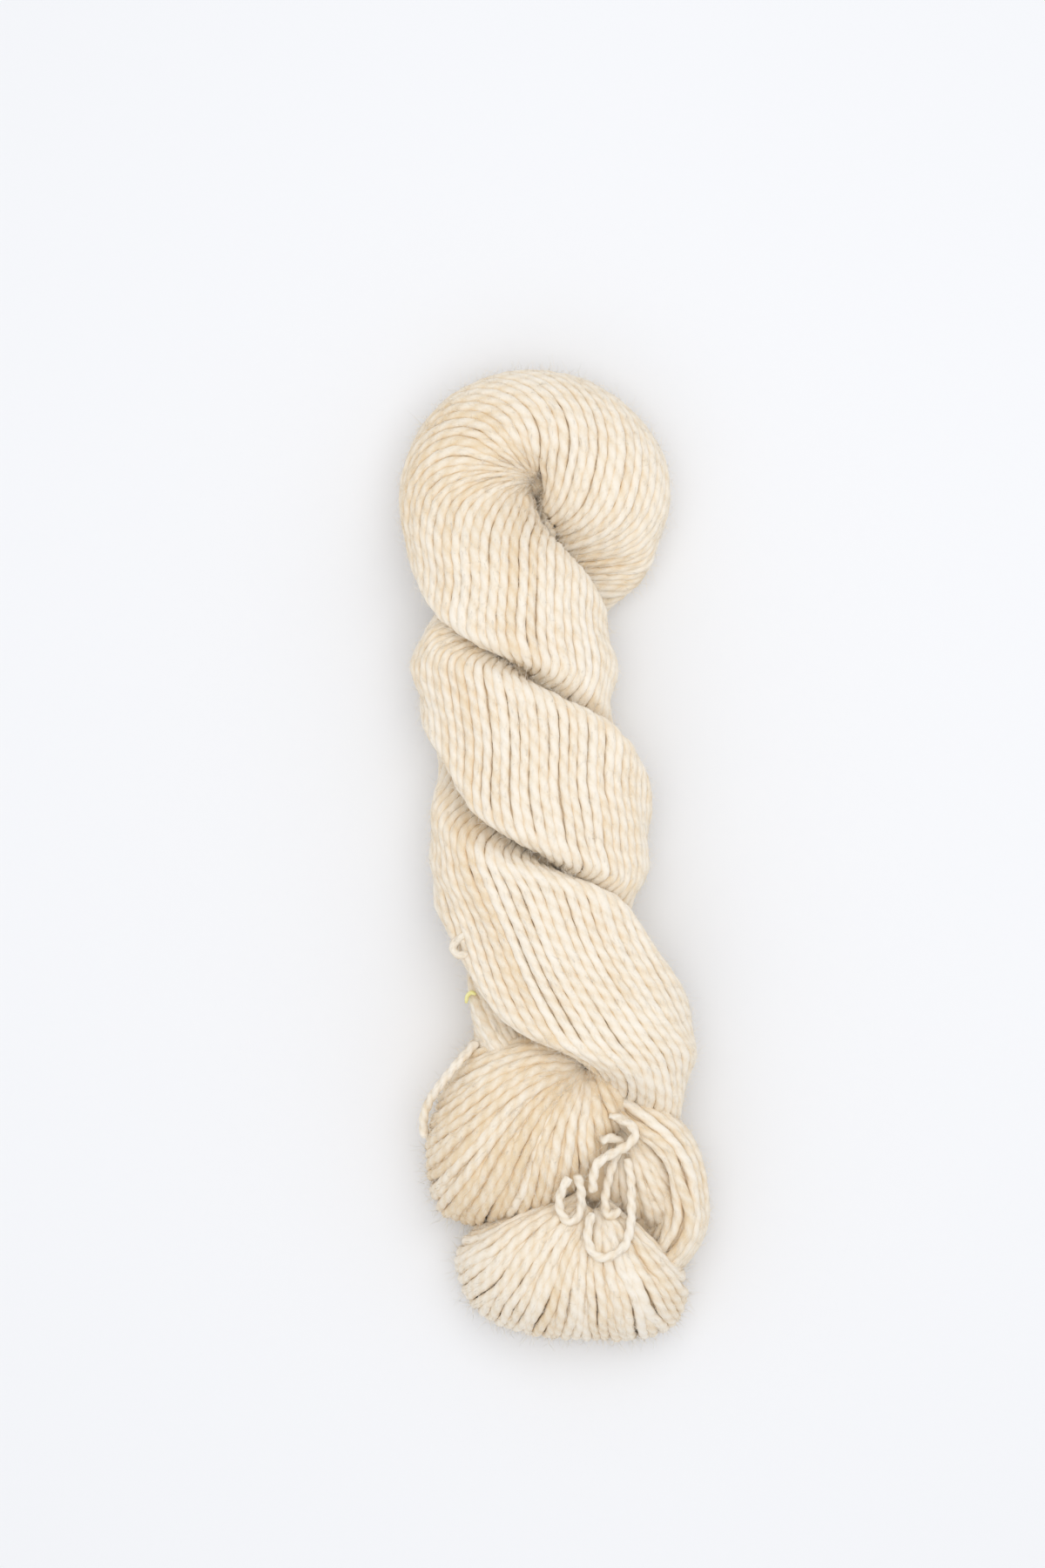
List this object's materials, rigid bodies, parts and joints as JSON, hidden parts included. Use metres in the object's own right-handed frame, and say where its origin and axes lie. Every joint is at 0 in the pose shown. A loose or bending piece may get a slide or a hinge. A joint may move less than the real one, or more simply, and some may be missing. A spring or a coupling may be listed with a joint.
{
  "type": "twisted hank of worsted weight yarn",
  "caption": "Twisted hank of undyed two-ply worsted yarn lying flat: two wound strands twisted together, folded end at one side, open loops and tie at the other.",
  "frame": {"origin": "on the resting plane under the middle of the hank's outline as seen from above", "axes": "+Y along the hank from its open, tied end to its folded end; +X across it, to the right seen from above with +Y up; +Z up from the surface it lies on"},
  "size_m": [0.0871, 0.2777, 0.0454],
  "materials": {
    "natural_wool": "soft undyed cream wool, two-ply, with a fine halo of loose fibres",
    "yellow_thread": "soft pale yellow thread"
  },
  "bodies": {
    "root": {"hank": "natural_wool", "tie_loop": "natural_wool", "tie_yarn": "natural_wool", "tie_end": "natural_wool", "small_loop": "natural_wool", "side_loop": "natural_wool", "marker_thread": "yellow_thread"}
  },
  "joints": []
}
